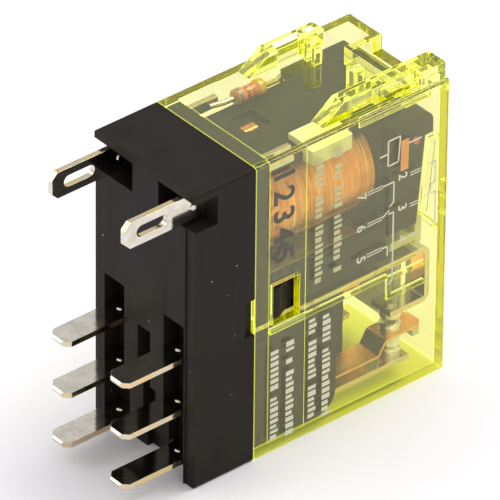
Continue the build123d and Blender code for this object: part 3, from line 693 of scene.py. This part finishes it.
TERMINAL_DIGITS = (
    ("7", LEFT_COLUMN, 21.3),
    ("6", LEFT_COLUMN, 18.2),
    ("5", LEFT_COLUMN, 15.1),
    ("2", RIGHT_COLUMN, 21.5),
    ("3", RIGHT_COLUMN, 18.4),
    ("4", RIGHT_COLUMN, 15.3),
)
TERMINAL_SIZE, TERMINAL_WEIGHT = 1.3, 0.025
STAMP_SIZE, STAMP_WEIGHT = 3.0, 0.07
STAMP_Y, STAMP_TOP, STAMP_PITCH = 9.3, 27.1, 1.95

print_mesh("printed_diagram", wiring_diagram(), WHITE_INK)
print_mesh("printed_indicator", [INDICATOR], ORANGE_INK)
for index, row in enumerate(ROWS):
    row_ink = PALE_INK if index < PALE_ROWS else WHITE_INK
    print_mesh(f"printed_row_{index + 1}", greeked_row(*row), row_ink)
for text, y, height in TERMINAL_DIGITS:
    name = f"printed_terminal_{text}"
    digit(text, y, height, TERMINAL_SIZE, TERMINAL_WEIGHT, WHITE_INK, name)
for index, text in enumerate("12345"):
    height = STAMP_TOP - STAMP_PITCH * index
    digit(text, STAMP_Y, height, STAMP_SIZE, STAMP_WEIGHT, BLACK_INK, f"stamped_digit_{text}")

# ================================================================ floor, light and camera
FLOOR_HALF_SIZE = 1.5


def floor():
    """Large sheet of white paper that the relay stands on."""
    look = Look("floor_paper", (0.93, 0.90, 0.92), Roughness=0.6, Specular_IOR_Level=0.2)
    cloud = look.noise(0.01, 3.0)
    look.colour(look.ramp(cloud, (0.3, (0.90, 0.87, 0.89)), (0.7, (0.92, 0.895, 0.91))))
    look.bump(look.noise(1.5, 3.0), 0.01, 0.3)
    bm = bmesh.new()
    bmesh.ops.create_grid(bm, x_segments=8, y_segments=8, size=FLOOR_HALF_SIZE)
    bmesh.ops.translate(bm, verts=bm.verts, vec=(0, 0, BOTTOM * MM))
    mesh = mesh_from("floor", bm)
    mesh.materials.append(look.material)
    piece = place_in_scene("floor", mesh)


def world():
    """Even, slightly cool light from all round."""
    made = bpy.data.worlds.new("studio")
    bpy.context.scene.world = made
    made.use_nodes = True
    back = made.node_tree.nodes["Background"]
    back.inputs["Color"].default_value = (0.97, 0.97, 1.0, 1)
    back.inputs["Strength"].default_value = 0.82


CENTRE = Vector((0, 11, level(14.5))) * MM
LAMP_DISTANCE = 0.5


def soft_box(name, direction, size, power):
    """Area lamp that looks at the relay from a direction."""
    lamp = bpy.data.lights.new(name, "AREA")
    lamp.shape = "RECTANGLE"
    lamp.size, lamp.size_y = size
    lamp.energy = power
    holder = place_in_scene(name, lamp)
    towards = Vector(direction).normalized()
    holder.location = CENTRE + towards * LAMP_DISTANCE
    holder.rotation_euler = towards.to_track_quat("Z", "Y").to_euler()


AZIMUTH, ELEVATION, ROLL = math.radians(49.62), math.radians(34.81), math.radians(-0.59)
DISTANCE = 0.8
# What the frame shows across, and how far its middle lies from the relay's centre.
VIEW_WIDTH = 40.9
AIM_RIGHT, AIM_UP = 0.188, 0.941
SENSOR_MM = 36.0


def camera():
    """Long-lens camera at the viewing angle, aimed so that the relay sits in the frame."""
    back = Vector((
        math.sin(AZIMUTH) * math.cos(ELEVATION),
        -math.cos(AZIMUTH) * math.cos(ELEVATION),
        math.sin(ELEVATION),
    ))
    level_right = Vector((math.cos(AZIMUTH), math.sin(AZIMUTH), 0))
    level_up = back.cross(level_right)
    right = level_right * math.cos(ROLL) - level_up * math.sin(ROLL)
    up = level_right * math.sin(ROLL) + level_up * math.cos(ROLL)
    lens = bpy.data.cameras.new("camera")
    lens.sensor_width = SENSOR_MM
    lens.lens = SENSOR_MM * DISTANCE / (VIEW_WIDTH * MM)
    lens.clip_start, lens.clip_end = 0.05, 20.0
    holder = place_in_scene("camera", lens)
    aside = (right * AIM_RIGHT + up * AIM_UP) * MM
    place = CENTRE + back * DISTANCE + aside
    turn = Matrix((right, up, back)).transposed().to_4x4()
    holder.matrix_world = Matrix.Translation(place) @ turn
    bpy.context.scene.camera = holder


floor()
world()
soft_box("window", (0.25, 1.0, 1.9), (0.3, 0.25), 1.25)
soft_box("side", (1.3, -0.25, 0.35), (0.3, 0.3), 0.22)
soft_box("fill", (-1.0, -0.9, 1.3), (0.3, 0.3), 0.5)
camera()

scene = bpy.context.scene
scene.view_settings.view_transform = "Standard"
# Light trapped inside the clear walls leaves them only after many inner reflections.
scene.cycles.max_bounces = 80
scene.cycles.glossy_bounces = 80
scene.cycles.transmission_bounces = 40
scene.cycles.transparent_max_bounces = 24
scene.cycles.diffuse_bounces = 5
scene.cycles.caustics_refractive = True
scene.cycles.sample_clamp_indirect = 6.0
